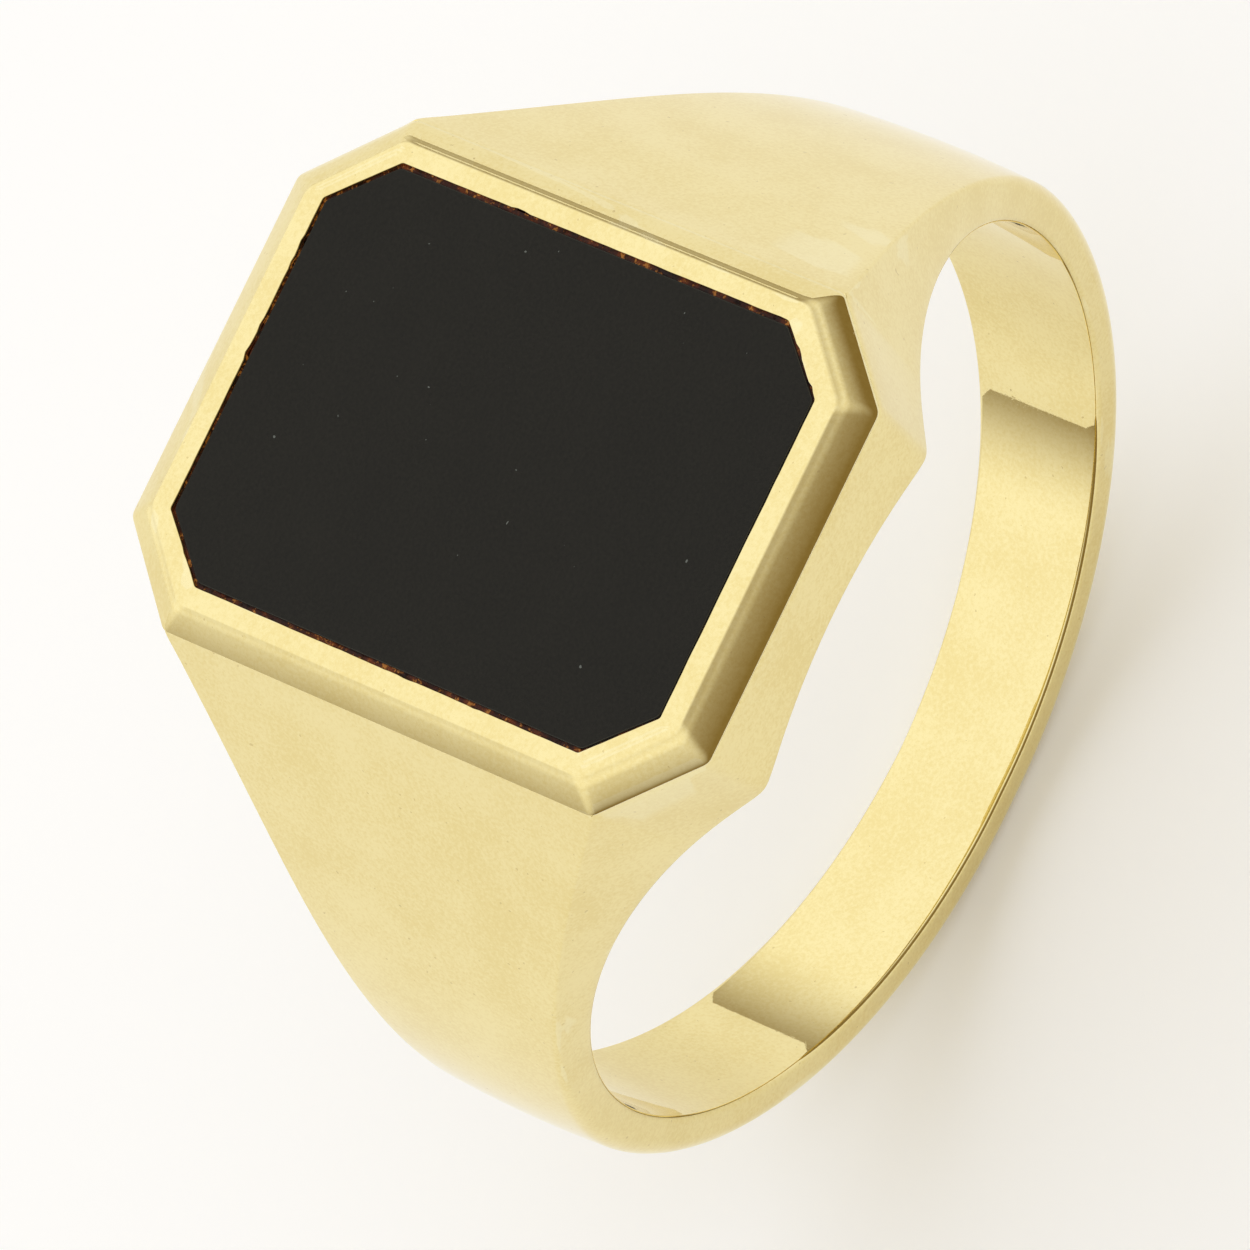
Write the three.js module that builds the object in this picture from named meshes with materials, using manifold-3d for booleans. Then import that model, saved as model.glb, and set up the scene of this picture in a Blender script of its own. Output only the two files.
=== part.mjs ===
// Octagonal signet ring with a flat onyx plate.
// The cast shank carries an octagonal bezel frame on a film of solder, and the plate lies in
// cement on a bearing ledge inside the head. Millimetres, +Z up, standing on the back of the band,
// Y along the finger.

import * as THREE from 'three';
import { ParametricGeometry } from 'three/addons/geometries/ParametricGeometry.js';
import { mergeVertices } from 'three/addons/utils/BufferGeometryUtils.js';
import Module from 'manifold-3d';

const wasm = await Module();
wasm.setup();

// Finger hole and band
const HOLE_RADIUS = 10.0;
const BAND_THICKNESS = 0.93;
const BAND_CROWN = 0.08;
const BAND_EDGE_ROUND = 0.32;
const EDGE_SOFTENING = 0.08;

// Head, seen from above: half lengths along X and Y, then how far each corner is cut off
const OPENING = { halfX: 4.79, halfY: 6.25, cutX: 1.27, cutY: 1.35 };
const RIM = { halfX: 5.19, halfY: 6.69, cutX: 1.65, cutY: 1.62 };
const BEVEL_FOOT = { halfX: 5.81, halfY: 7.4, cutX: 1.9, cutY: 1.9 };
const HEAD_RISE = 12.49;
const BEVEL_HEIGHT = 0.57;

// Stone seat
const STONE_GAP = 0.07;
const STONE_THICKNESS = 1.25;
const STONE_BELOW_RIM = 0.03;
const STONE_EDGE_SOFTENING = 0.05;
const CEMENT_BELOW_RIM = 0.12;
const CEMENT_FILM = 0.05;
const LEDGE_WIDTH = 0.7;
const LEDGE_HEIGHT = 0.35;
const SOLDER_FILM = 0.04;

// Side view of a shoulder: it leaves the bevel's foot this steeply and joins the band here
const SHOULDER_SLOPE = THREE.MathUtils.degToRad(58);
const SHOULDER_END = THREE.MathUtils.degToRad(76.7);
const SHOULDER_TOP_PULL = 4.24;
const SHOULDER_BAND_PULL = 3.23;

// Half widths fall off exponentially around the ring, counted from the head's corner
const INNER_TAPER = { back: 1.32, head: 6.73, decay: THREE.MathUtils.degToRad(36) };
const OUTER_TAPER = { back: 1.24, decay: THREE.MathUtils.degToRad(41.6) };
const CHEEK_LEAN = THREE.MathUtils.degToRad(5);
const CHEEK_LEAN_DECAY = THREE.MathUtils.degToRad(15);

// How finely the shank is faceted
const WALL_STEPS = 6;
const CUT_STEPS = 4;
const SHOULDER_STEPS = 14;
const BAND_STEPS = 20;
const ROUND_STEPS = 3;

// Heights that follow from the dimensions above
const HOLE_Z = HOLE_RADIUS + BAND_THICKNESS + BAND_CROWN;
const RIM_Z = HOLE_Z + HEAD_RISE;
const FRAME_FOOT_Z = RIM_Z - BEVEL_HEIGHT;
const HEAD_TOP_Z = FRAME_FOOT_Z - SOLDER_FILM;
const STONE_TOP_Z = RIM_Z - STONE_BELOW_RIM;
const STONE_FOOT_Z = STONE_TOP_Z - STONE_THICKNESS;
const LEDGE_TOP_Z = STONE_FOOT_Z - CEMENT_FILM;
const POCKET_FLOOR_Z = LEDGE_TOP_Z - LEDGE_HEIGHT;
const CEMENT_TOP_Z = RIM_Z - CEMENT_BELOW_RIM;
const CUTTER_MARGIN = 1;

const BAND_RADIUS = HOLE_RADIUS + BAND_THICKNESS;
const HEAD_EDGE_RISE = HEAD_TOP_Z - HOLE_Z;
const CORNER_ANGLE = Math.atan2(BEVEL_FOOT.halfX, HEAD_EDGE_RISE);
const CORNER_HALF_WIDTH = BEVEL_FOOT.halfY - BEVEL_FOOT.cutY;
const WALL_HALF_LENGTH = BEVEL_FOOT.halfX - BEVEL_FOOT.cutX;

const gold = new THREE.MeshStandardMaterial({ color: 0xd9b85c, roughness: 0.12, metalness: 1 });
const solderGold = new THREE.MeshStandardMaterial({ color: 0xcfae58, roughness: 0.25, metalness: 1 });
const onyx = new THREE.MeshStandardMaterial({ color: 0x0b0b0b, roughness: 0.2, metalness: 0 });
const cement = new THREE.MeshStandardMaterial({ color: 0x3a1408, roughness: 0.6, metalness: 0 });

// ---------- solids ----------

function solidOf(geometry) {
  const bare = geometry.clone();
  bare.deleteAttribute('normal');
  bare.deleteAttribute('uv');
  const merged = mergeVertices(bare);
  return new wasm.Manifold(new wasm.Mesh({
    numProp: 3,
    vertProperties: Float32Array.from(merged.attributes.position.array),
    triVerts: Uint32Array.from(merged.index.array),
  }));
}

function geometryOf(solid) {
  const mesh = solid.getMesh();
  const geometry = new THREE.BufferGeometry();
  geometry.setAttribute('position', new THREE.BufferAttribute(mesh.vertProperties, 3));
  geometry.setIndex(new THREE.BufferAttribute(mesh.triVerts, 1));
  geometry.computeVertexNormals();
  return geometry;
}

// A closed tube of rows, each row a closed loop of the same number of points.
function loft(rows) {
  const rowCount = rows.length;
  const pointCount = rows[0].length;
  const place = (u, v, target) => {
    const row = rows[Math.round(u * rowCount) % rowCount];
    target.copy(row[Math.round(v * pointCount) % pointCount]);
  };
  return new ParametricGeometry(place, rowCount, pointCount);
}

// ---------- octagons ----------

function octagonPoints({ halfX, halfY, cutX, cutY }) {
  const innerX = halfX - cutX;
  const innerY = halfY - cutY;
  return [
    [halfX, -innerY], [halfX, innerY], [innerX, halfY], [-innerX, halfY],
    [-halfX, innerY], [-halfX, -innerY], [-innerX, -halfY], [innerX, -halfY],
  ].map(([x, y]) => new THREE.Vector2(x, y));
}

// Moves every side of an octagon inwards by the same distance.
function insetOctagon(outline, distance) {
  const cutChange = distance * (2 - Math.SQRT2);
  return {
    halfX: outline.halfX - distance,
    halfY: outline.halfY - distance,
    cutX: outline.cutX - cutChange,
    cutY: outline.cutY - cutChange,
  };
}

function octagonSlab(outline, bottomZ, topZ, hole = null) {
  const shape = new THREE.Shape(octagonPoints(outline));
  if (hole) {
    shape.holes.push(new THREE.Path(octagonPoints(hole)));
  }
  const slab = new THREE.ExtrudeGeometry(shape, { depth: topZ - bottomZ, bevelEnabled: false });
  return slab.translate(0, 0, bottomZ);
}

function octagonRow(outline, z) {
  return octagonPoints(outline).map((p) => new THREE.Vector3(p.x, p.y, z));
}

// ---------- shank ----------

function innerHalfWidth(angle) {
  const fall = Math.exp(-(angle - CORNER_ANGLE) / INNER_TAPER.decay);
  const tapered = INNER_TAPER.back + (INNER_TAPER.head - INNER_TAPER.back) * fall;
  return Math.min(BEVEL_FOOT.halfY, tapered);
}

function outerHalfWidth(angle) {
  const fall = Math.exp(-(angle - CORNER_ANGLE) / OUTER_TAPER.decay);
  return OUTER_TAPER.back + (CORNER_HALF_WIDTH - OUTER_TAPER.back) * fall;
}

// The angle at which the hole's edge leaves the flat side wall.
function wallEndAngle() {
  const drop = (BEVEL_FOOT.halfY - INNER_TAPER.back) / (INNER_TAPER.head - INNER_TAPER.back);
  return CORNER_ANGLE - INNER_TAPER.decay * Math.log(drop);
}

// One station is a slice through the shank: a point on the hole's edge and one on the outer edge.
function station(innerAngle, outerX, outerRise, outerWidth) {
  return {
    inner: new THREE.Vector2(HOLE_RADIUS * Math.sin(innerAngle), HOLE_RADIUS * Math.cos(innerAngle)),
    outer: new THREE.Vector2(outerX, outerRise),
    innerWidth: innerHalfWidth(innerAngle),
    outerWidth,
    angle: Math.atan2(outerX, outerRise),
  };
}

function wallStations() {
  const innerEnd = HOLE_RADIUS * Math.sin(wallEndAngle());
  const stations = [];
  for (let i = 0; i <= WALL_STEPS; i += 1) {
    const share = i / WALL_STEPS;
    const innerAngle = Math.asin(share * innerEnd / HOLE_RADIUS);
    stations.push(station(innerAngle, share * WALL_HALF_LENGTH, HEAD_EDGE_RISE, BEVEL_FOOT.halfY));
  }
  return stations;
}

function cutCornerStations() {
  const start = wallEndAngle();
  const end = CORNER_ANGLE + CHEEK_LEAN;
  const stations = [];
  for (let i = 1; i <= CUT_STEPS; i += 1) {
    const share = i / CUT_STEPS;
    const x = WALL_HALF_LENGTH + share * BEVEL_FOOT.cutX;
    const y = BEVEL_FOOT.halfY - share * BEVEL_FOOT.cutY;
    stations.push(station(start + share * (end - start), x, HEAD_EDGE_RISE, y));
  }
  return stations;
}

function shoulderStations() {
  const top = new THREE.Vector2(BEVEL_FOOT.halfX, HEAD_EDGE_RISE);
  const foot = new THREE.Vector2(Math.sin(SHOULDER_END), Math.cos(SHOULDER_END)).multiplyScalar(BAND_RADIUS);
  const topPull = new THREE.Vector2(Math.cos(SHOULDER_SLOPE), -Math.sin(SHOULDER_SLOPE));
  const footPull = new THREE.Vector2(-Math.cos(SHOULDER_END), Math.sin(SHOULDER_END));
  const profile = new THREE.CubicBezierCurve(
    top,
    top.clone().addScaledVector(topPull, SHOULDER_TOP_PULL),
    foot.clone().addScaledVector(footPull, SHOULDER_BAND_PULL),
    foot,
  );
  return profile.getPoints(SHOULDER_STEPS).slice(1).map((point) => {
    const angle = Math.atan2(point.x, point.y);
    const lean = CHEEK_LEAN * Math.exp(-(angle - CORNER_ANGLE) / CHEEK_LEAN_DECAY);
    return station(angle + lean, point.x, point.y, outerHalfWidth(angle));
  });
}

function bandStations() {
  const stations = [];
  for (let i = 1; i <= BAND_STEPS; i += 1) {
    const angle = SHOULDER_END + (Math.PI - SHOULDER_END) * i / BAND_STEPS;
    const x = BAND_RADIUS * Math.sin(angle);
    const rise = BAND_RADIUS * Math.cos(angle);
    stations.push(station(angle, x, rise, outerHalfWidth(angle)));
  }
  return stations;
}

// Points of a slice's rounded corner, in (thickness, half width).
function roundedCorner(before, corner, after, radius) {
  const toBefore = before.clone().sub(corner).normalize();
  const toAfter = after.clone().sub(corner).normalize();
  const halfAngle = Math.acos(toBefore.dot(toAfter)) / 2;
  const setBack = radius / Math.tan(halfAngle);
  const curve = new THREE.QuadraticBezierCurve(
    corner.clone().addScaledVector(toBefore, setBack),
    corner,
    corner.clone().addScaledVector(toAfter, setBack),
  );
  return curve.getPoints(ROUND_STEPS);
}

// A slice's closed outline: hole surface, side, rounded edge, crowned outside, and back.
function slice(at) {
  const bandShare = THREE.MathUtils.smoothstep(at.angle, Math.PI * 0.28, Math.PI * 0.6);
  const crownShare = THREE.MathUtils.smoothstep(at.angle, CORNER_ANGLE, CORNER_ANGLE * 1.5);
  const radius = THREE.MathUtils.lerp(EDGE_SOFTENING, BAND_EDGE_ROUND, bandShare);
  const thickness = at.inner.distanceTo(at.outer);
  const outward = at.outer.clone().normalize();
  const corner = new THREE.Vector2(thickness, at.outerWidth);
  const edge = at.angle > CORNER_ANGLE
    ? roundedCorner(new THREE.Vector2(0, at.innerWidth), corner, new THREE.Vector2(thickness, 0), radius)
    : Array(ROUND_STEPS + 1).fill(corner);
  const half = [new THREE.Vector2(0, at.innerWidth), ...edge, new THREE.Vector2(thickness, corner.y / 2)];
  const toSpace = (point, side) => {
    const share = point.x / thickness;
    const crown = BAND_CROWN * crownShare * share * (1 - (point.y / at.outerWidth) ** 2);
    const flat = at.inner.clone().lerp(at.outer, share).addScaledVector(outward, Math.max(crown, 0));
    return new THREE.Vector3(flat.x, side * point.y, HOLE_Z + flat.y);
  };
  const front = half.map((point) => toSpace(point, -1));
  const back = half.map((point) => toSpace(point, 1)).reverse();
  const middleOutside = toSpace(new THREE.Vector2(thickness, 0), 1);
  const middleInside = toSpace(new THREE.Vector2(0, 0), 1);
  return [middleInside, ...front, middleOutside, ...back];
}

function shank() {
  const quarter = [...wallStations(), ...cutCornerStations(), ...shoulderStations(), ...bandStations()];
  const right = quarter.map(slice);
  const left = right.slice(1, -1).reverse();
  const mirrored = left.map((row) => row.map((p) => new THREE.Vector3(-p.x, p.y, p.z)));
  const body = solidOf(loft([...right, ...mirrored]));
  const pocket = solidOf(octagonSlab(OPENING, POCKET_FLOOR_Z, HEAD_TOP_Z + CUTTER_MARGIN));
  return geometryOf(body.subtract(pocket));
}

// ---------- head ----------

function bezelFrame() {
  return loft([
    octagonRow(OPENING, RIM_Z),
    octagonRow(RIM, RIM_Z),
    octagonRow(BEVEL_FOOT, FRAME_FOOT_Z),
    octagonRow(OPENING, FRAME_FOOT_Z),
  ]);
}

function solderSeam() {
  return octagonSlab(BEVEL_FOOT, HEAD_TOP_Z, FRAME_FOOT_Z, OPENING);
}

function bearingLedge() {
  return octagonSlab(OPENING, POCKET_FLOOR_Z, LEDGE_TOP_Z, insetOctagon(OPENING, LEDGE_WIDTH));
}

function cementBed() {
  const plug = solidOf(octagonSlab(insetOctagon(OPENING, LEDGE_WIDTH), POCKET_FLOOR_Z, LEDGE_TOP_Z));
  const tray = solidOf(octagonSlab(OPENING, LEDGE_TOP_Z, CEMENT_TOP_Z));
  const stoneSpace = octagonSlab(insetOctagon(OPENING, STONE_GAP), STONE_FOOT_Z, RIM_Z + CUTTER_MARGIN);
  return geometryOf(plug.add(tray).subtract(solidOf(stoneSpace)));
}

// The plate's upper and lower arrises are softened alike.
function onyxPlate() {
  const girdle = insetOctagon(OPENING, STONE_GAP);
  const table = insetOctagon(girdle, STONE_EDGE_SOFTENING);
  const plate = new THREE.ExtrudeGeometry(new THREE.Shape(octagonPoints(table)), {
    depth: STONE_THICKNESS - 2 * STONE_EDGE_SOFTENING,
    bevelThickness: STONE_EDGE_SOFTENING,
    bevelSize: STONE_EDGE_SOFTENING,
    bevelSegments: 1,
  });
  return plate.translate(0, 0, STONE_FOOT_Z + STONE_EDGE_SOFTENING);
}

// ---------- assembly ----------

function named(name, geometry, material) {
  const mesh = new THREE.Mesh(geometry, material);
  mesh.name = name;
  return mesh;
}

const ring = new THREE.Group();
ring.add(named('shank', shank(), gold));
ring.add(named('solder_seam', solderSeam(), solderGold));
ring.add(named('bezel_frame', bezelFrame(), gold));
ring.add(named('bearing_ledge', bearingLedge(), gold));
ring.add(named('cement_bed', cementBed(), cement));
ring.add(named('onyx_plate', onyxPlate(), onyx));

export default ring;
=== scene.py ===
"""Octagonal gold signet ring with an onyx plate, on a pale floor under soft studio light."""

import math

import bmesh
import bpy
import numpy as np
from mathutils import Matrix, Vector, noise


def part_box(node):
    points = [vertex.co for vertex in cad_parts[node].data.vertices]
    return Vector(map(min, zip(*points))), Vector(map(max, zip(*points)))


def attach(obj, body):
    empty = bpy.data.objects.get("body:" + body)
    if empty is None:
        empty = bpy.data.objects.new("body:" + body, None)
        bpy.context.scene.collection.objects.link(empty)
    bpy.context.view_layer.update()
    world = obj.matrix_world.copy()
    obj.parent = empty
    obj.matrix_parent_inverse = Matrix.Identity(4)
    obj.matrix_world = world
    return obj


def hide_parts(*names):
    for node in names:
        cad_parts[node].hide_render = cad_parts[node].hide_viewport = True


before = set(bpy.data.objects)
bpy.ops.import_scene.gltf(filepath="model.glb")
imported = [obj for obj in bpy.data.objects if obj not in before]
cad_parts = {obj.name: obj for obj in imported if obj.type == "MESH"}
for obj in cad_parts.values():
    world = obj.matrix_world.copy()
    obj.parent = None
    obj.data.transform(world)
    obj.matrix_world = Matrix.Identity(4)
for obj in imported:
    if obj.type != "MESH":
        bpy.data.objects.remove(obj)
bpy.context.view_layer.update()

MM = 0.001

# ---------- driving dimensions, in millimetres ----------

FRAME_LOW, FRAME_HIGH = (np.array(corner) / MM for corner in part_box("bezel_frame"))
STONE_LOW, STONE_HIGH = (np.array(corner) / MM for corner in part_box("onyx_plate"))
LEDGE_LOW, LEDGE_HIGH = (np.array(corner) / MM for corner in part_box("bearing_ledge"))
CEMENT_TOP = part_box("cement_bed")[1][2] / MM
SEAM_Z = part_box("shank")[1][2] / MM

LEDGE_WIDTH = 0.7
HOLE_RADIUS = 10.0
HOLE_Z = 11.01
BAND_CROWN = 0.08
BAND_RADIUS = HOLE_Z - BAND_CROWN

# An octagon seen from above: half lengths along X and Y, then how far its corners are cut.
OPENING = np.array([LEDGE_HIGH[0], LEDGE_HIGH[1], 1.27, 1.35])
RIM = np.array([5.19, 6.69, 1.65, 1.62])
FOOT = np.array([FRAME_HIGH[0], FRAME_HIGH[1], 1.90, 1.90])
RIM_Z = FRAME_HIGH[2]
FOOT_Z = FRAME_LOW[2]
FLOOR_Z = LEDGE_LOW[2]

SHOULDER_SLOPE = math.radians(58)
SHOULDER_END = math.radians(76.7)
SHOULDER_TOP_PULL = 4.24
SHOULDER_BAND_PULL = 3.23

INNER_TAPER = (1.32, 6.73, math.radians(36))
OUTER_TAPER = (1.24, FOOT[1] - FOOT[3], math.radians(41.6))
CHEEK_LEAN = math.radians(5)
CHEEK_LEAN_DECAY = math.radians(15)

HEAD_RISE = SEAM_Z - HOLE_Z
CORNER_ANGLE = math.atan2(FOOT[0], HEAD_RISE)
WALL_HALF_LENGTH = FOOT[0] - FOOT[2]

# Softened edges
HOLE_EDGE = 0.12
HEAD_EDGE = 0.07
BAND_EDGE = 0.42
WALL_CORNER = 0.20
RIM_ROUND = 0.085
CUT_RIM_ROUND = 0.15
OPENING_ROUND = 0.04
BEVEL_CROWN = 0.010
CUT_BEVEL_CROWN = 0.016

# Radii of the octagons' corners
OPENING_CORNER = 0.12
RIM_CORNER = 0.45
FOOT_CORNER = 0.30

# The bevel's foot is drawn in at the solder seam, and the metal above and below curves to meet it.
# Each row: (how far in, over what height) above the seam, then below it.
SIDE_FOOT = ((0.045, 0.190), (0.011, 0.048))
END_FOOT = ((0.010, 0.030), (0.016, 0.046))
CUT_FOOT = ((0.070, 0.150), (0.045, 0.100))
CRISP_FOOT = ((0.0, 1.0), (0.0, 1.0))

# How far the stone's girdle stands in from the opening at the sides, ends and cut corners
STONE_GAPS = (0.095, 0.050, 0.055)


# ---------- mesh helpers ----------

def make_object(name, points, faces, material, piece_slot, stands_for):
    """A piece in the row frame, from points in millimetres."""
    mesh = bpy.data.meshes.new(name)
    mesh.from_pydata([tuple(p * MM) for p in points], [], faces)
    mesh.update()
    mesh.materials.append(material)
    piece = bpy.data.objects.new(name, mesh)
    bpy.context.scene.collection.objects.link(piece)
    piece["slot"] = piece_slot
    piece["stands_for"] = stands_for
    return piece


def loft(rows, close_rows=True):
    """Points and quads of a surface through rows of points, each row a closed loop."""
    rows = np.asarray(rows)
    row_count, loop = rows.shape[:2]
    faces = []
    spans = row_count if close_rows else row_count - 1
    for i in range(spans):
        here = i * loop
        there = (i + 1) % row_count * loop
        for j in range(loop):
            k = (j + 1) % loop
            faces.append((here + j, there + j, there + k, here + k))
    return rows.reshape(-1, 3), faces


def finish_normals(piece, sharp_degrees=32):
    """Smooth faces with true edges kept, and flat faces kept flat."""
    mesh = piece.data
    mesh.shade_smooth()
    mesh.set_sharp_from_angle(angle=math.radians(sharp_degrees))
    weighted = piece.modifiers.new("face weighted normals", "WEIGHTED_NORMAL")
    weighted.keep_sharp = True
    weighted.weight = 100


def outward(piece):
    """Turns every face to point out."""
    work = bmesh.new()
    work.from_mesh(piece.data)
    bmesh.ops.recalc_face_normals(work, faces=work.faces)
    work.to_mesh(piece.data)
    work.free()


# ---------- octagons ----------

SIDE_STEPS = (60, 14, 44, 14) * 2
CORNER_STEPS = 6


def octagon_corners(spec):
    half_x, half_y, cut_x, cut_y = spec
    in_x, in_y = half_x - cut_x, half_y - cut_y
    return np.array([
        (half_x, -in_y), (half_x, in_y), (in_x, half_y), (-in_x, half_y),
        (-half_x, in_y), (-half_x, -in_y), (-in_x, -half_y), (in_x, -half_y),
    ])


def inset(spec, distance):
    """The octagon whose sides all lie a distance further in."""
    change = distance * (2 - math.sqrt(2))
    return spec - np.array([distance, distance, change, change])


def drawn_in(spec, sides, ends, cuts):
    """The octagon with its X sides, Y ends and cut corners each moved in by their own distance."""
    change = math.sqrt(2) * cuts - sides - ends
    return spec + np.array([-sides, -ends, change, change])


def octagon_loop(spec, radius):
    """Closed loop of points round an octagon with rounded corners, always the same number."""
    corners = octagon_corners(spec)
    set_back = radius * math.tan(math.radians(22.5))
    loop = []
    for i, corner in enumerate(corners):
        before = corners[i - 1] - corner
        after = corners[(i + 1) % 8] - corner
        start = corner + before / np.linalg.norm(before) * set_back
        end = corner + after / np.linalg.norm(after) * set_back
        for k in range(CORNER_STEPS + 1):
            t = k / CORNER_STEPS
            loop.append((1 - t) ** 2 * start + 2 * t * (1 - t) * corner + t * t * end)
        following = corners[(i + 1) % 8]
        stop = following - after / np.linalg.norm(after) * set_back
        steps = SIDE_STEPS[i]
        for k in range(1, steps):
            loop.append(end + (stop - end) * k / steps)
    return np.array(loop)


def octagon_ring(spec, z, radius):
    loop = octagon_loop(spec, radius)
    return np.column_stack([loop, np.full(len(loop), z)])


def cut_corner_share():
    """For each point of a loop, 1 on the cut corners and 0 on the long sides."""
    shares = []
    for i, steps in enumerate(SIDE_STEPS):
        before, after = (i - 1) % 2, i % 2
        for k in range(CORNER_STEPS + 1):
            shares.append(before + (after - before) * k / CORNER_STEPS)
        shares += [after] * (steps - 1)
    return np.array(shares)[:, None]


CUT_SHARE = cut_corner_share()


def foot_pull(foot, offset):
    """How far the outline is drawn in at an offset above the seam, or below it if negative."""
    depth, reach = foot[0] if offset >= 0 else foot[1]
    return depth * math.exp(-abs(offset) / reach)


def foot_ring(spec, z, radius, side_pull, end_pull, cut_pull):
    """A ring near the seam; only the +X side is soft, the -X side keeps a crisp foot."""
    soft = octagon_ring(drawn_in(spec, side_pull, end_pull, cut_pull), z, radius)
    crisp = octagon_ring(drawn_in(spec, 0, end_pull, end_pull), z, radius)
    return np.where(soft[:, :1] > 0, soft, crisp)


# ---------- shank ----------

WALL_ROWS = 16
WALL_CORNER_ROWS = 7
CUT_ROWS = 14
SHOULDER_ROWS = 56
BAND_ROWS = 72
FILLET_POINTS = 7


def soft_min(a, b, radius):
    """The smaller of two values, blended where they cross."""
    return 0.5 * (a + b - math.sqrt((a - b) ** 2 + radius ** 2))


def inner_half_width(angle):
    low, high, decay = INNER_TAPER
    tapered = low + (high - low) * math.exp(-(angle - CORNER_ANGLE) / decay)
    return soft_min(FOOT[1], tapered, WALL_CORNER)


def outer_half_width(angle):
    low, high, decay = OUTER_TAPER
    return low + (high - low) * math.exp(-(angle - CORNER_ANGLE) / decay)


def wall_end_angle():
    low, high, decay = INNER_TAPER
    return CORNER_ANGLE - decay * math.log((FOOT[1] - low) / (high - low))


def station(inner_angle, outer_x, outer_rise, outer_width, edge):
    """A slice of the shank: the hole's edge, the outer edge, and how round the outer edge is."""
    return {
        "inner": HOLE_RADIUS * np.array([math.sin(inner_angle), math.cos(inner_angle)]),
        "outer": np.array([outer_x, outer_rise]),
        "inner_width": inner_half_width(inner_angle),
        "outer_width": outer_width,
        "edge": edge,
        "angle": math.atan2(outer_x, outer_rise),
    }


def head_stations():
    """Slices under the flat head: side wall, its rounded corner, and the cut corner."""
    wall_end = wall_end_angle()
    corner_in = CORNER_ANGLE + CHEEK_LEAN
    set_back = WALL_CORNER
    outline = []
    for i in range(WALL_ROWS):
        outline.append(((WALL_HALF_LENGTH - set_back) * i / WALL_ROWS, FOOT[1]))
    start = np.array([WALL_HALF_LENGTH - set_back, FOOT[1]])
    turn = np.array([WALL_HALF_LENGTH, FOOT[1]])
    cut = np.array([FOOT[0], FOOT[1] - FOOT[3]]) - turn
    end = turn + cut / np.linalg.norm(cut) * set_back
    for i in range(WALL_CORNER_ROWS):
        t = i / WALL_CORNER_ROWS
        outline.append(tuple((1 - t) ** 2 * start + 2 * t * (1 - t) * turn + t * t * end))
    stop = np.array([FOOT[0], FOOT[1] - FOOT[3]])
    for i in range(CUT_ROWS):
        outline.append(tuple(end + (stop - end) * i / CUT_ROWS))
    stations = []
    for x, y in outline:
        if x <= WALL_HALF_LENGTH:
            inner_angle = math.asin(x / WALL_HALF_LENGTH * math.sin(wall_end))
        else:
            share = (x - WALL_HALF_LENGTH) / FOOT[2]
            inner_angle = wall_end + share * (corner_in - wall_end)
        stations.append(station(inner_angle, x, HEAD_RISE, y, 0.004))
    return stations


def shoulder_profile():
    """The side view's outline from the bevel's foot down to the round band."""
    top = np.array([FOOT[0], HEAD_RISE])
    foot = BAND_RADIUS * np.array([math.sin(SHOULDER_END), math.cos(SHOULDER_END)])
    pull_top = top + SHOULDER_TOP_PULL * np.array([math.cos(SHOULDER_SLOPE), -math.sin(SHOULDER_SLOPE)])
    pull_foot = foot + SHOULDER_BAND_PULL * np.array([-math.cos(SHOULDER_END), math.sin(SHOULDER_END)])
    points = []
    for i in range(SHOULDER_ROWS + 1):
        t = (i / SHOULDER_ROWS) ** 1.6
        points.append((1 - t) ** 3 * top + 3 * (1 - t) ** 2 * t * pull_top
                      + 3 * (1 - t) * t * t * pull_foot + t ** 3 * foot)
    return points


def smooth_step(value, low, high):
    t = min(max((value - low) / (high - low), 0), 1)
    return t * t * (3 - 2 * t)


def edge_at(angle):
    near_head = smooth_step(angle, CORNER_ANGLE, math.radians(29))
    to_band = smooth_step(angle, math.radians(50), math.radians(108))
    return 0.03 + (HEAD_EDGE - 0.03) * near_head + (BAND_EDGE - HEAD_EDGE) * to_band


def body_stations():
    stations = head_stations()
    for x, rise in shoulder_profile():
        angle = math.atan2(x, rise)
        lean = CHEEK_LEAN * math.exp(-(angle - CORNER_ANGLE) / CHEEK_LEAN_DECAY)
        stations.append(station(angle + lean, x, rise, outer_half_width(angle), edge_at(angle)))
    for i in range(1, BAND_ROWS + 1):
        angle = SHOULDER_END + (math.pi - SHOULDER_END) * i / BAND_ROWS
        x, rise = BAND_RADIUS * math.sin(angle), BAND_RADIUS * math.cos(angle)
        stations.append(station(angle, x, rise, outer_half_width(angle), edge_at(angle)))
    return stations


def fillet(before, corner, after, radius):
    """Points of a round corner, tangent to both of its lines."""
    to_before = before - corner
    to_after = after - corner
    length_before, length_after = np.linalg.norm(to_before), np.linalg.norm(to_after)
    to_before, to_after = to_before / length_before, to_after / length_after
    half = math.acos(float(np.clip(to_before @ to_after, -1, 1))) / 2
    reach = min(radius / math.tan(half), 0.45 * length_before, 0.45 * length_after)
    radius = reach * math.tan(half)
    middle = to_before + to_after
    centre = corner + middle / np.linalg.norm(middle) * radius / math.sin(half)
    first = corner + to_before * reach - centre
    last = corner + to_after * reach - centre
    turn = math.pi - 2 * half
    points = []
    for i in range(FILLET_POINTS + 1):
        t = i / FILLET_POINTS
        arm = math.sin((1 - t) * turn) * first + math.sin(t * turn) * last
        points.append(centre + arm / math.sin(turn))
    return points


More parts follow.
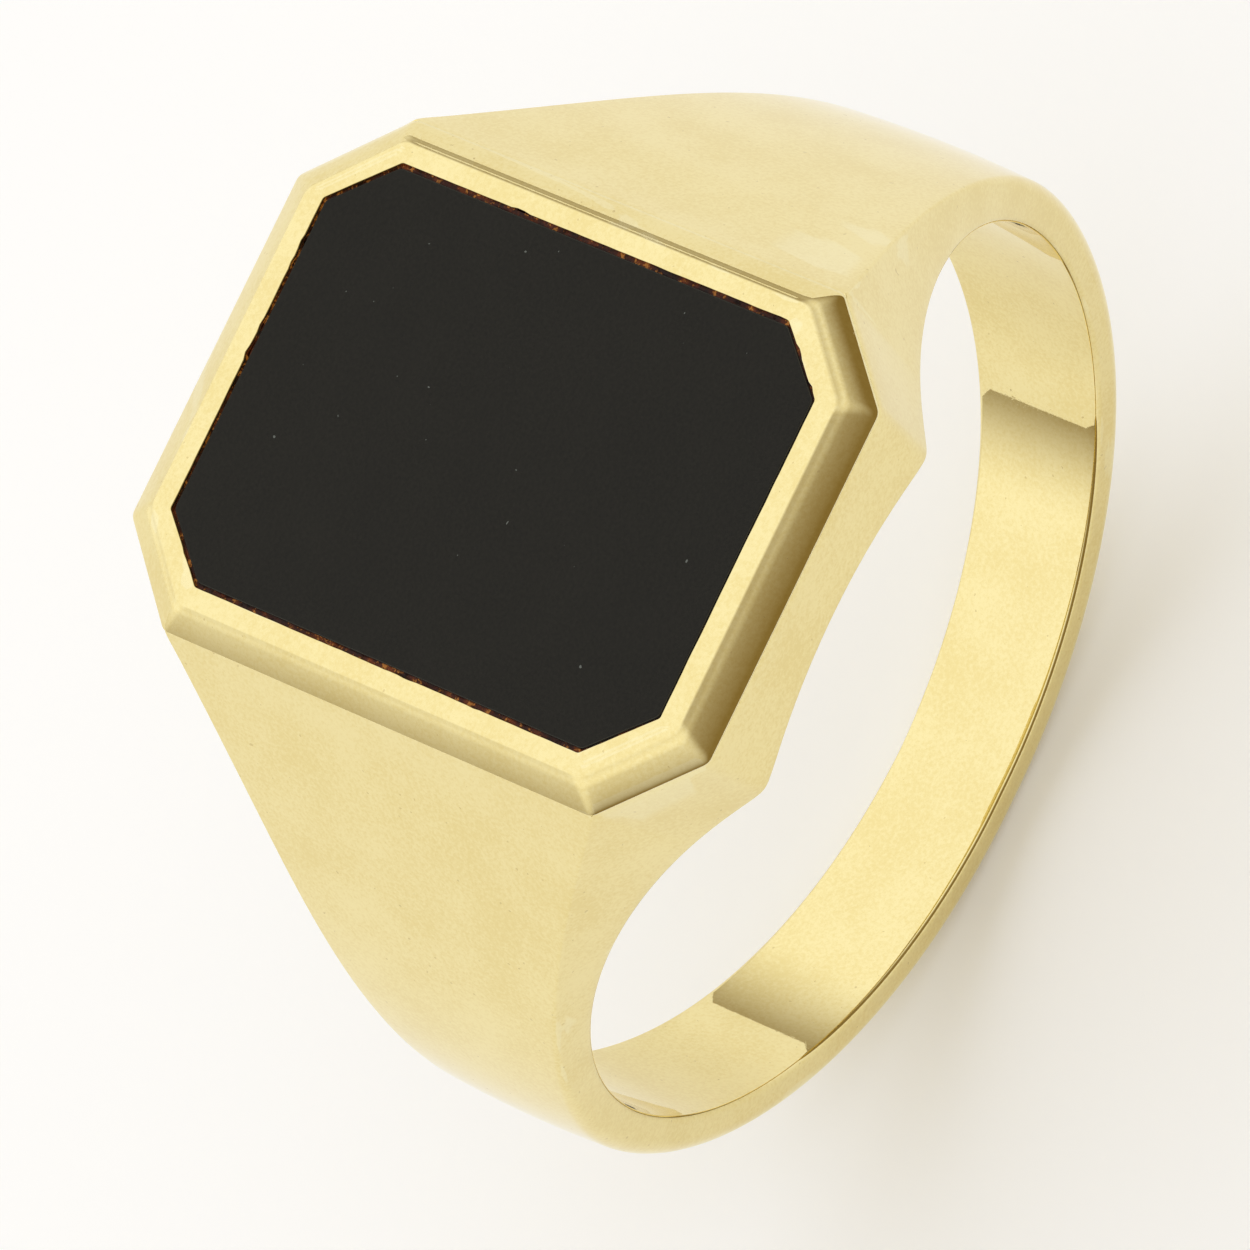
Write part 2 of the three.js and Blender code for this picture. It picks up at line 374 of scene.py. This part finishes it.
def soften_foot(points, side_foot):
    """Draws the head's outline in just below the seam."""
    diagonal = (FOOT[0] + FOOT[1] - FOOT[2]) / math.sqrt(2)
    slant = math.sqrt(0.5)
    for p in points:
        reach = np.array([p[0] - FOOT[0], -p[1] - FOOT[1], (p[0] - p[1]) * slant - diagonal])
        weight = np.exp(np.clip(reach, -2, 2) / 0.05)
        side, end, cut = weight / weight.sum()
        below = min(p[2] - SEAM_Z, -1e-9)
        at_side, at_end, at_cut = (foot_pull(foot, below) for foot in (side_foot, END_FOOT, CUT_FOOT))
        sideways = min(p[0] / 0.5, 1)
        p[0] -= sideways * (side * at_side + cut * at_cut * slant)
        p[1] += end * at_end + cut * at_cut * slant
    return points


def slice_loop(at, side_foot):
    """A slice's closed outline of points in space."""
    thickness = float(np.linalg.norm(at["outer"] - at["inner"]))
    hole_middle = np.array([0.0, 0.0])
    hole_edge = np.array([0.0, at["inner_width"]])
    outer_edge = np.array([thickness, at["outer_width"]])
    outer_middle = np.array([thickness, 0.0])
    inner_round = fillet(hole_middle, hole_edge, outer_edge, HOLE_EDGE)
    outer_round = fillet(hole_edge, outer_edge, outer_middle, at["edge"])
    half = []
    for share in (0.0, 0.3, 0.6, 0.85):
        half.append(hole_middle + (inner_round[0] - hole_middle) * share)
    half += inner_round
    flank = outer_round[0] - inner_round[-1]
    near = min(0.25, 0.28 * float(np.linalg.norm(flank))) / float(np.linalg.norm(flank))
    close_shares = tuple(1 - part * near for part in (1, 0.7, 0.45, 0.25, 0.1))
    flank_shares = (0.12, 0.3, 0.5, 0.7) + close_shares
    for share in flank_shares:
        half.append(inner_round[-1] + flank * share)
    half += outer_round
    for share in (0.08, 0.2, 0.35, 0.5, 0.7, 0.85, 1.0):
        half.append(outer_round[-1] + (outer_middle - outer_round[-1]) * share)
    half = np.array(half)
    crown_share = smooth_step(at["angle"], CORNER_ANGLE, CORNER_ANGLE * 1.5)
    share = half[:, 0] / thickness
    crown = BAND_CROWN * crown_share * share * np.clip(1 - (half[:, 1] / at["outer_width"]) ** 2, 0, 1)
    direction = at["outer"] / np.linalg.norm(at["outer"])
    flat = at["inner"] + share[:, None] * (at["outer"] - at["inner"]) + crown[:, None] * direction
    front = soften_foot(np.column_stack([flat[:, 0], -half[:, 1], HOLE_Z + flat[:, 1]]), side_foot)
    back = (front * np.array([1, -1, 1]))[-2:0:-1]
    return np.concatenate([front, back])


def octagon_prism(name, spec, low, high, radius):
    """A plain closed prism that cuts the pocket."""
    loop = octagon_loop(spec, radius)
    count = len(loop)
    points = np.concatenate([
        np.column_stack([loop, np.full(count, low)]),
        np.column_stack([loop, np.full(count, high)]),
    ])
    faces = [(i, (i + 1) % count, count + (i + 1) % count, count + i) for i in range(count)]
    faces += [tuple(range(count - 1, -1, -1)), tuple(range(count, 2 * count))]
    mesh = bpy.data.meshes.new(name)
    mesh.from_pydata([tuple(p * MM) for p in points], [], faces)
    cutter = bpy.data.objects.new(name, mesh)
    bpy.context.scene.collection.objects.link(cutter)
    return cutter


def build_shank(material):
    stations = body_stations()
    right = np.array([slice_loop(at, SIDE_FOOT) for at in stations])
    left = np.array([slice_loop(at, CRISP_FOOT) for at in stations[-2:0:-1]]) * np.array([-1, 1, 1])
    points, faces = loft(np.concatenate([right, left]))
    shank = make_object("polished_shank", points, faces, material, "polished_gold", "shank")
    outward(shank)
    cutter = octagon_prism("pocket_cutter", OPENING, FLOOR_Z, SEAM_Z + 1, OPENING_CORNER)
    cut = shank.modifiers.new("stone pocket", "BOOLEAN")
    cut.operation = "DIFFERENCE"
    cut.solver = "EXACT"
    cut.object = cutter
    graph = bpy.context.evaluated_depsgraph_get()
    baked = bpy.data.meshes.new_from_object(shank.evaluated_get(graph))
    shank.modifiers.clear()
    shank.data = baked
    bpy.data.objects.remove(cutter)
    finish_normals(shank)
    return shank


# ---------- head ----------

BEVEL_STEPS = 10
FOOT_HEIGHTS = (0.12, 0.09, 0.065, 0.045, 0.03, 0.018, 0.008, 0.0)


def between(start, end, share):
    return start + (end - start) * share


def rounded_edge(before, corner, after, corner_radius, steps=6):
    """Rings through a rounded edge of the frame; each argument is (octagon, height)."""
    rings = []
    for k in range(steps + 1):
        t = k / steps
        weights = ((1 - t) ** 2, 2 * t * (1 - t), t * t)
        mixed = sum(w * np.append(o, z) for w, (o, z) in zip(weights, (before, corner, after)))
        rings.append(octagon_ring(mixed[:4], mixed[4], corner_radius))
    return rings


def bevel_ring(share, height, crown):
    """A ring on the crowned bevel, with its foot drawn in; the height overrides the share near the foot."""
    spec = between(RIM, FOOT, share)
    lift = 4 * crown * share * (1 - share)
    slope = math.atan2(RIM_Z - FOOT_Z, FOOT[0] - RIM[0])
    spec = inset(spec, -lift * math.sin(slope))
    pulls = [foot_pull(foot, height - FOOT_Z) for foot in (SIDE_FOOT, END_FOOT, CUT_FOOT)]
    radius = between(RIM_CORNER, FOOT_CORNER, share)
    return foot_ring(spec, height + lift * math.cos(slope), radius, *pulls)


def outer_rings(rim_round, crown):
    """From the flat rim, over its outer edge and down the bevel to its foot."""
    bevel_width = float(np.hypot(FOOT[0] - RIM[0], RIM_Z - FOOT_Z))
    start = rim_round / bevel_width
    rim_end = (between(OPENING, RIM, 1 - rim_round / float(RIM[0] - OPENING[0])), RIM_Z)
    bevel_start = (between(RIM, FOOT, start), between(RIM_Z, FOOT_Z, start))
    rings = rounded_edge(rim_end, (RIM, RIM_Z), bevel_start, RIM_CORNER)
    last = 1 - FOOT_HEIGHTS[0] / (RIM_Z - FOOT_Z)
    for k in range(1, BEVEL_STEPS):
        share = between(start, last, k / BEVEL_STEPS)
        eased_crown = crown * min(k / 3, 1)
        rings.append(bevel_ring(share, between(RIM_Z, FOOT_Z, share), eased_crown))
    for height in FOOT_HEIGHTS:
        rings.append(bevel_ring(1 - height / (RIM_Z - FOOT_Z), FOOT_Z + height, crown))
    return rings


def chip_lip(ring):
    """Wears the opening's edge unevenly, with a few small nicks."""
    for p in ring:
        outward_way = p[:2] / np.linalg.norm(p[:2])
        wander = 0.010 * noise.noise(Vector((p[0], p[1], 7.0)) * 2.3)
        nick = max(0.0, noise.noise(Vector((p[0], p[1], 2.0)) * 3.7) - 0.38) * 0.16
        p[:2] += outward_way * (wander + nick)


def build_frame(material):
    rim_width = float(RIM[0] - OPENING[0])
    wall_top = (OPENING, RIM_Z - OPENING_ROUND)
    lip = (between(OPENING, RIM, OPENING_ROUND / rim_width), RIM_Z)
    rows = [octagon_ring(OPENING, FOOT_Z, OPENING_CORNER)]
    rows.append(octagon_ring(OPENING, between(FOOT_Z, RIM_Z, 0.6), OPENING_CORNER))
    lip_rings = rounded_edge(wall_top, (OPENING, RIM_Z), lip, OPENING_CORNER)
    for ring in lip_rings:
        chip_lip(ring)
    rows += lip_rings
    for share in (0.2, 0.4):
        spec = between(lip[0], RIM, share)
        rows.append(octagon_ring(spec, RIM_Z, between(OPENING_CORNER, RIM_CORNER, share)))
    long_sides = outer_rings(RIM_ROUND, BEVEL_CROWN)
    cut_corners = outer_rings(CUT_RIM_ROUND, CUT_BEVEL_CROWN)
    for plain, soft in zip(long_sides, cut_corners):
        rows.append(plain + (soft - plain) * CUT_SHARE)
    points, faces = loft(rows)
    piece = make_object("polished_bezel_frame", points, faces, material, "polished_gold", "bezel_frame")
    outward(piece)
    finish_normals(piece)
    return piece


def build_solder(material):
    rows = [
        octagon_ring(OPENING, SEAM_Z, OPENING_CORNER),
        foot_ring(FOOT, SEAM_Z, FOOT_CORNER, SIDE_FOOT[1][0], END_FOOT[1][0], CUT_FOOT[1][0]),
        foot_ring(FOOT, FOOT_Z, FOOT_CORNER, SIDE_FOOT[0][0], END_FOOT[0][0], CUT_FOOT[0][0]),
        octagon_ring(OPENING, FOOT_Z, OPENING_CORNER),
    ]
    points, faces = loft(rows)
    piece = make_object("solder_film", points, faces, material, "gold_solder", "solder_seam")
    outward(piece)
    finish_normals(piece)
    return piece


ARRIS = 0.045
ARRIS_STEPS = 6


def build_stone(material):
    girdle = drawn_in(OPENING, *STONE_GAPS)
    top, bottom = STONE_HIGH[2], STONE_LOW[2]
    corner = OPENING_CORNER + 0.10
    under, over = [], []
    for k in range(ARRIS_STEPS + 1):
        turn = math.pi / 2 * k / ARRIS_STEPS
        sideways, upright = ARRIS * (1 - math.sin(turn)), ARRIS * (1 - math.cos(turn))
        under.append(octagon_ring(inset(girdle, sideways), bottom + upright, corner))
        over.append(octagon_ring(inset(girdle, upright), top - sideways, corner))
    rows = under + over
    points, faces = loft(rows, close_rows=False)
    loop = len(rows[0])
    faces.append(tuple(range(loop)))
    faces.append(tuple(range(len(points) - 1, len(points) - 1 - loop, -1)))
    piece = make_object("polished_onyx_plate", points, faces, material, "onyx", "onyx_plate")
    outward(piece)
    finish_normals(piece)
    return piece


def roughen_crest(ring, lift):
    """Uneven height along the cement's squeezed-out line."""
    for p in ring:
        coarse = noise.noise(Vector((p[0], p[1], 0.0)) * 3.1)
        fine = noise.noise(Vector((p[0], p[1], 4.0)) * 9.0)
        p[2] += lift * (coarse + 0.7 * fine)


def build_cement(material):
    """The cement upstand in the gap and the bed below, as one closed body."""
    girdle = drawn_in(OPENING, *STONE_GAPS)
    middle = drawn_in(OPENING, *(gap / 2 for gap in STONE_GAPS))
    plug = inset(OPENING, LEDGE_WIDTH)
    ledge_top = LEDGE_HIGH[2]
    corner = OPENING_CORNER
    crest_out = octagon_ring(OPENING, CEMENT_TOP, corner)
    crest_mid = octagon_ring(middle, CEMENT_TOP, corner)
    crest_in = octagon_ring(girdle, CEMENT_TOP, corner)
    roughen_crest(crest_out, 0.04)
    roughen_crest(crest_mid, 0.07)
    roughen_crest(crest_in, 0.03)
    rows = [
        octagon_ring(plug, FLOOR_Z, corner),
        octagon_ring(plug, ledge_top, corner),
        octagon_ring(OPENING, ledge_top, corner),
        crest_out, crest_mid, crest_in,
        octagon_ring(girdle, STONE_LOW[2], corner),
    ]
    points, faces = loft(rows, close_rows=False)
    loop = len(rows[0])
    faces.append(tuple(range(loop)))
    faces.append(tuple(range(len(points) - 1, len(points) - 1 - loop, -1)))
    piece = make_object("setting_cement", points, faces, material, "cement", "cement_bed")
    outward(piece)
    finish_normals(piece)
    return piece


# ---------- node helpers ----------

class Value:
    """A number inside a shader that combines with ordinary arithmetic."""

    def __init__(self, graph, socket):
        self.graph = graph
        self.socket = socket

    def __add__(self, other):
        return self.graph.math("ADD", self, other)

    def __sub__(self, other):
        return self.graph.math("SUBTRACT", self, other)

    def __mul__(self, other):
        return self.graph.math("MULTIPLY", self, other)

    __radd__ = __add__


class Graph:
    """Short calls for building a shader's nodes; an input is a number, a colour, a socket or a Value."""

    def __init__(self, tree):
        self.tree = tree

    def node(self, kind, inputs=(), **settings):
        made = self.tree.nodes.new(kind)
        for key, value in settings.items():
            setattr(made, key, value)
        for key, value in dict(inputs).items():
            self.feed(made.inputs[key], value)
        return made

    def feed(self, socket, value):
        if isinstance(value, Value):
            value = value.socket
        if isinstance(value, bpy.types.NodeSocket):
            self.tree.links.new(value, socket)
        elif isinstance(value, tuple) and len(value) == 3 and socket.type == "RGBA":
            socket.default_value = (*value, 1)
        else:
            socket.default_value = value

    def math(self, operation, *values):
        made = self.node("ShaderNodeMath", enumerate(values), operation=operation)
        return Value(self, made.outputs[0])

    def step(self, value, low, high):
        """0 at low and 1 at high, eased; low may be the larger."""
        made = self.node("ShaderNodeMapRange", {"Value": value, "From Min": low, "From Max": high},
                         interpolation_type="SMOOTHSTEP")
        return Value(self, made.outputs[0])

    def mix(self, base, colour, mask):
        made = self.node("ShaderNodeMix", data_type="RGBA")
        self.feed(made.inputs[0], mask)
        self.feed(made.inputs[6], base)
        self.feed(made.inputs[7], colour)
        return made.outputs[2]

    def ramp(self, value, stops):
        """Colours along a value; stops are (value, colour)."""
        low, high = stops[0][0], stops[-1][0]
        made = self.node("ShaderNodeValToRGB", {"Fac": (value - low) * (1 / (high - low))})
        elements = made.color_ramp.elements
        while len(elements) < len(stops):
            elements.new(0.5)
        for element, (at, colour) in zip(elements, stops):
            element.position = (at - low) / (high - low)
            element.color = (*colour, 1)
        return made.outputs[0]

    def split(self, vector):
        made = self.node("ShaderNodeSeparateXYZ", {"Vector": vector})
        return tuple(Value(self, output) for output in made.outputs)

    def scaled(self, vector, *factors):
        factors = factors * 3 if len(factors) == 1 else factors
        return self.node("ShaderNodeVectorMath", {0: vector, 1: factors}, operation="MULTIPLY").outputs[0]

    def turned(self, vector, angles):
        made = self.node("ShaderNodeVectorRotate", {"Vector": vector, "Rotation": angles},
                         rotation_type="EULER_XYZ")
        return made.outputs[0]

    def noise(self, vector, scale, detail=2.0, roughness=0.5):
        made = self.node("ShaderNodeTexNoise", {"Vector": vector, "Scale": scale, "Detail": detail,
                                                "Roughness": roughness})
        return Value(self, made.outputs["Fac"])


# ---------- materials ----------

def new_material(name):
    material = bpy.data.materials.new(name)
    material.use_nodes = True
    tree = material.node_tree
    return material, Graph(tree), tree.nodes["Principled BSDF"]


def millimetres(graph):
    """The piece's own coordinates, in millimetres."""
    return graph.scaled(graph.node("ShaderNodeTexCoord").outputs["Object"], 1 / MM)


def scratches(graph, place, angles, spacing, threshold):
    """Fine parallel marks along one direction, broken up into short strokes."""
    stretched = graph.scaled(graph.turned(place, angles), 0.55, spacing, spacing)
    lines = graph.step(graph.noise(stretched, 1.0, 1.0), threshold, threshold + 0.05)
    patches = graph.step(graph.noise(place, 0.45, 1.0), 0.50, 0.62)
    return lines * patches


def gold_material(name, colour, deep_colour, roughness, grain):
    """Polished gold: mottled tone, uneven polish, hairline scratches, a few dust specks, and pale wear on
    sharp edges that is partly a painted edge highlight.
    """
    material, graph, shader = new_material(name)
    place = millimetres(graph)
    cloud = graph.noise(place, 0.6, 2.0)
    mottle = graph.noise(place, 11.0, 2.0, 0.7)
    marks = scratches(graph, place, (0.3, 0.2, 0.7), 24.0, 0.66)
    cross_marks = scratches(graph, place, (1.1, 0.5, -0.9), 19.0, 0.67)
    hairlines = graph.math("MAXIMUM", marks, cross_marks)
    specks = graph.step(graph.noise(place, 8.0, 0.0), 0.835, 0.85)
    edge = graph.node("ShaderNodeNewGeometry").outputs["Pointiness"]
    wear_and_edge_highlight = graph.step(Value(graph, edge), 0.53, 0.60)
    shade = graph.step(cloud * 0.4 + mottle * 0.6, 0.64, 0.34) * grain
    tone = graph.mix(colour, deep_colour, shade)
    tone = graph.mix(tone, (0.60, 0.46, 0.20), specks * 0.5)
    # Sharp convex edges are tinted paler: partly wear, partly a painted edge highlight; the added roughness
    # below is the wear.
    tone = graph.mix(tone, (0.93, 0.87, 0.58), wear_and_edge_highlight * 0.3)
    graph.feed(shader.inputs["Base Color"], tone)
    polish = roughness + cloud * 0.015 + mottle * 0.015
    polish = polish + hairlines * 0.08 + wear_and_edge_highlight * 0.03 + specks * 0.2
    graph.feed(shader.inputs["Roughness"], polish)
    shader.inputs["Metallic"].default_value = 1.0
    ripple = graph.noise(place, 1.4, 1.0) + mottle * 0.22
    bump = graph.node("ShaderNodeBump", {"Height": ripple, "Distance": 0.0005 * MM})
    graph.feed(shader.inputs["Normal"], bump.outputs[0])
    return material


def onyx_material():
    """Black onyx: a fine satin grain, a few pale pits, and a polished arris painted paler as a highlight.
    """
    material, graph, shader = new_material("polished onyx")
    place = millimetres(graph)
    grain = graph.noise(place, 13.0, 3.0, 0.75)
    drift = graph.noise(place, 0.8, 2.0)
    pits = graph.step(graph.noise(place, 7.0, 0.0), 0.875, 0.89)
    height = graph.split(place)[2]
    painted_highlight_arris = graph.step(height, STONE_HIGH[2] - 0.004, STONE_HIGH[2] - 0.016)
    shades = ((0.36, (0.0008, 0.0006, 0.0002)), (0.64, (0.0068, 0.0060, 0.0042)))
    tone = graph.ramp(grain * 0.85 + drift * 0.15, shades)
    # The arris is painted paler: a painted highlight. Its extra polish and specular level are the stone's
    # own.
    tone = graph.mix(tone, (0.030, 0.032, 0.034), painted_highlight_arris)
    tone = graph.mix(tone, (0.20, 0.22, 0.20), pits * 0.6)
    graph.feed(shader.inputs["Base Color"], tone)
    graph.feed(shader.inputs["Roughness"], 0.10 + grain * 0.08 + pits * 0.3 + painted_highlight_arris * 0.1)
    graph.feed(shader.inputs["Specular IOR Level"], 0.225 + painted_highlight_arris * 0.25)
    shader.inputs["Specular Tint"].default_value = (1.0, 0.96, 0.84, 1)
    bump = graph.node("ShaderNodeBump", {"Height": grain, "Distance": 0.0005 * MM})
    graph.feed(shader.inputs["Normal"], bump.outputs[0])
    return material


def cement_material():
    """Setting cement: near-black red-brown, with orange crumbs where it squeezed out."""
    material, graph, shader = new_material("setting cement")
    place = millimetres(graph)
    clumps = graph.noise(place, 2.4, 3.0, 0.7)
    crumbs = graph.step(graph.noise(place, 6.5, 2.0, 0.7), 0.53, 0.62)
    shades = ((0.35, (0.014, 0.003, 0.001)), (0.5, (0.055, 0.010, 0.003)), (0.68, (0.20, 0.045, 0.008)))
    tone = graph.ramp(clumps, shades)
    tone = graph.mix(tone, (0.50, 0.20, 0.045), crumbs * graph.step(clumps, 0.40, 0.54))
    graph.feed(shader.inputs["Base Color"], tone)
    graph.feed(shader.inputs["Roughness"], 0.45 + clumps * 0.25 + crumbs * 0.2)
    shader.inputs["Specular IOR Level"].default_value = 0.25
    bump = graph.node("ShaderNodeBump", {"Height": clumps + crumbs * 0.4, "Distance": 0.02 * MM})
    graph.feed(shader.inputs["Normal"], bump.outputs[0])
    return material


# ---------- studio ----------

# One broad soft light, behind the ring and high up, that fades evenly into a dim warm room
LIGHT_HEIGHT = math.radians(60)
LIGHT_TONE = (1.15, 1.15, 1.15)
ROOM_TONE = (0.26, 0.19, 0.08)
LIGHT_FADE = (0.1, 0.6)

FLOOR_HALF_WIDTH = 3
FLOOR_TONE = (0.9, 0.9, 0.9, 1)
FLOOR_GLOW = 0.15


def build_floor():
    """A plain pale floor, with a little glow so that it stays pale close to the ring."""
    corners = ((-1, -1), (1, -1), (1, 1), (-1, 1))
    points = [(x * FLOOR_HALF_WIDTH, y * FLOOR_HALF_WIDTH, 0) for x, y in corners]
    mesh = bpy.data.meshes.new("studio_floor")
    mesh.from_pydata(points, [], [(0, 1, 2, 3)])
    floor = bpy.data.objects.new("studio_floor", mesh)
    bpy.context.scene.collection.objects.link(floor)
    material, _, shader = new_material("pale floor")
    shader.inputs["Base Color"].default_value = FLOOR_TONE
    shader.inputs["Roughness"].default_value = 0.9
    shader.inputs["Emission Color"].default_value = (1, 1, 1, 1)
    shader.inputs["Emission Strength"].default_value = FLOOR_GLOW
    mesh.materials.append(material)


def build_world():
    world = bpy.data.worlds.new("soft studio")
    world.use_nodes = True
    bpy.context.scene.world = world
    graph = Graph(world.node_tree)
    _, y, z = graph.split(graph.node("ShaderNodeTexCoord").outputs["Generated"])
    towards_light = y * math.cos(LIGHT_HEIGHT) + z * math.sin(LIGHT_HEIGHT)
    tone = graph.mix(ROOM_TONE, LIGHT_TONE, graph.step(towards_light, *LIGHT_FADE))
    graph.feed(world.node_tree.nodes["Background"].inputs["Color"], tone)


CAMERA_AZIMUTH = math.radians(-9.375)
CAMERA_ELEVATION = math.radians(58.70)
CAMERA_ROLL = math.radians(-55.99)
CAMERA_DISTANCE = 284.28
CAMERA_LENS = 394.6
AIM = Vector((-1.041, 1.737, 12.939))


def build_camera():
    data = bpy.data.cameras.new("camera")
    data.lens = CAMERA_LENS
    data.sensor_width = 36
    data.clip_start = 0.001
    camera = bpy.data.objects.new("camera", data)
    bpy.context.scene.collection.objects.link(camera)
    back = Vector((
        math.sin(CAMERA_AZIMUTH) * math.cos(CAMERA_ELEVATION),
        -math.cos(CAMERA_AZIMUTH) * math.cos(CAMERA_ELEVATION),
        math.sin(CAMERA_ELEVATION),
    ))
    camera.location = (AIM + back * CAMERA_DISTANCE) * MM
    camera.rotation_mode = "QUATERNION"
    level = (-back).to_track_quat("-Z", "Y")
    camera.rotation_quaternion = level @ Matrix.Rotation(CAMERA_ROLL, 3, "Z").to_quaternion()
    bpy.context.scene.camera = camera


# ---------- assembly ----------

gold = gold_material("polished gold", (0.87, 0.75, 0.38), (0.80, 0.66, 0.29), 0.012, 0.9)
solder = gold_material("gold solder", (0.85, 0.74, 0.40), (0.76, 0.63, 0.29), 0.05, 1.0)

pieces = [
    build_shank(gold),
    build_frame(gold),
    build_solder(solder),
    build_stone(onyx_material()),
    build_cement(cement_material()),
]
for piece in pieces:
    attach(piece, "root")
    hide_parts(piece["stands_for"])
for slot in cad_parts["bearing_ledge"].material_slots:
    slot.material = gold

build_floor()
build_world()
build_camera()
bpy.context.scene.view_settings.view_transform = "Standard"
